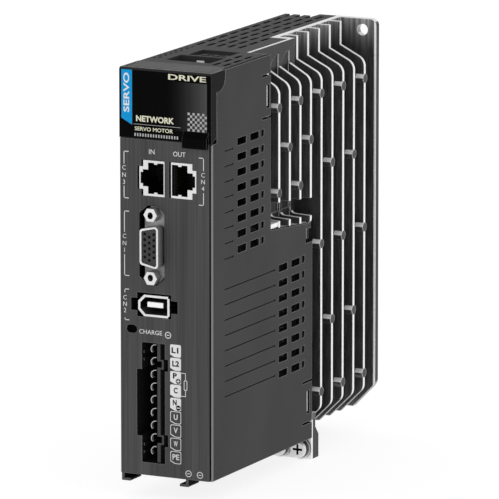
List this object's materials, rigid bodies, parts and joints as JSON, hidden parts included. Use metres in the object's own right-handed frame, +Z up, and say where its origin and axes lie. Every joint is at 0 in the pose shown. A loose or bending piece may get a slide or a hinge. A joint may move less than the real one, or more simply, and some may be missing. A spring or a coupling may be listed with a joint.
{
  "type": "servo drive",
  "caption": "Narrow servo drive with a hinged display cover over a keypad, front connector sockets, louvred side cover, slotted top, and a finned side heat sink with a mounting plate.",
  "frame": {"origin": "centre of the two mounting holes, on the rear mounting face", "axes": "+X right when facing the front panel, +Y back towards the wall, +Z up"},
  "size_m": [0.04, 0.1543, 0.17],
  "materials": {
    "panel_plastic": "fine vertical brushed texture",
    "shell_plastic": "fine spark-eroded texture",
    "side_plastic": "smooth satin",
    "cast_aluminium": "dark satin casting with bright worn edges",
    "smoked_plastic": "polished, near black",
    "blue_inlay": "satin colour",
    "bezel_plastic": "fine texture",
    "key_plastic": "satin",
    "switch_plastic": "matt",
    "display_plastic": "matt",
    "segment_plastic": "translucent",
    "green_board": "solder resist",
    "jack_shell": "plated",
    "jack_insert": "matt",
    "gold_contact": "plated",
    "plated_shell": "nickel plated",
    "connector_plastic": "matt",
    "nickel_hardware": "nickel plated",
    "encoder_steel": "tin plated",
    "lamp_lens": "clear",
    "header_plastic": "matt",
    "tin_contact": "tin plated",
    "white_plastic": "satin",
    "screw_steel": "zinc plated",
    "washer_steel": "zinc plated",
    "chip_plastic": "matt",
    "pillar_brass": "turned",
    "pad_rubber": "soft",
    "capacitor_sleeve": "shrunk sleeve",
    "relay_plastic": "satin",
    "transformer_plastic": "taped winding",
    "choke_paint": "coated core",
    "film_plastic": "satin"
  },
  "bodies": {
    "drive": {"board_link": "white_plastic", "board_pillars": "pillar_brass", "board_screws": "screw_steel", "bus_capacitors": "capacitor_sleeve", "charge_lens": "lamp_lens", "control_board": "green_board", "display_board": "green_board", "display_digits": "segment_plastic", "display_module": "display_plastic", "encoder_shell": "encoder_steel", "encoder_tongue": "connector_plastic", "film_capacitors": "film_plastic", "front_frame": "panel_plastic", "heat_sink": "cast_aluminium", "housing": "shell_plastic", "io_contacts": "gold_contact", "io_insulator": "connector_plastic", "io_jackscrews": "nickel_hardware", "io_shell": "plated_shell", "keypad_bezel": "bezel_plastic", "line_choke": "choke_paint", "module_screws": "screw_steel", "pe_screws": "screw_steel", "pe_washers": "washer_steel", "power_board": "green_board", "power_module": "chip_plastic", "relay": "relay_plastic", "rj45_in_contacts": "gold_contact", "rj45_in_insert": "jack_insert", "rj45_in_shell": "jack_shell", "rj45_out_contacts": "gold_contact", "rj45_out_insert": "jack_insert", "rj45_out_shell": "jack_shell", "side_cover": "side_plastic", "signal_chips": "chip_plastic", "tact_switches": "switch_plastic", "terminal_contacts": "tin_contact", "terminal_header": "header_plastic", "thermal_pad": "pad_rubber", "top_connector": "white_plastic", "transformer": "transformer_plastic"},
    "display_cover": {"display_cover": "smoked_plastic", "cover_inlay": "blue_inlay"},
    "key_mode": {"key_mode": "key_plastic"},
    "key_up": {"key_up": "key_plastic"},
    "key_down": {"key_down": "key_plastic"},
    "key_shift": {"key_shift": "key_plastic"},
    "key_set": {"key_set": "key_plastic"}
  },
  "joints": [
    {"name": "cover_hinge", "type": "hinge", "parent": "drive", "child": "display_cover", "pos_m": [0, -0.1438, 0.083], "axis": [-1, 0, 0], "range_deg": [0, 90]},
    {"name": "key_mode_press", "type": "slide", "parent": "drive", "child": "key_mode", "axis": [0, 1, 0], "range_m": [0, 0.00035], "stiffness_N_per_m": 1500},
    {"name": "key_up_press", "type": "slide", "parent": "drive", "child": "key_up", "axis": [0, 1, 0], "range_m": [0, 0.00035], "stiffness_N_per_m": 1500},
    {"name": "key_down_press", "type": "slide", "parent": "drive", "child": "key_down", "axis": [0, 1, 0], "range_m": [0, 0.00035], "stiffness_N_per_m": 1500},
    {"name": "key_shift_press", "type": "slide", "parent": "drive", "child": "key_shift", "axis": [0, 1, 0], "range_m": [0, 0.00035], "stiffness_N_per_m": 1500},
    {"name": "key_set_press", "type": "slide", "parent": "drive", "child": "key_set", "axis": [0, 1, 0], "range_m": [0, 0.00035], "stiffness_N_per_m": 1500}
  ]
}
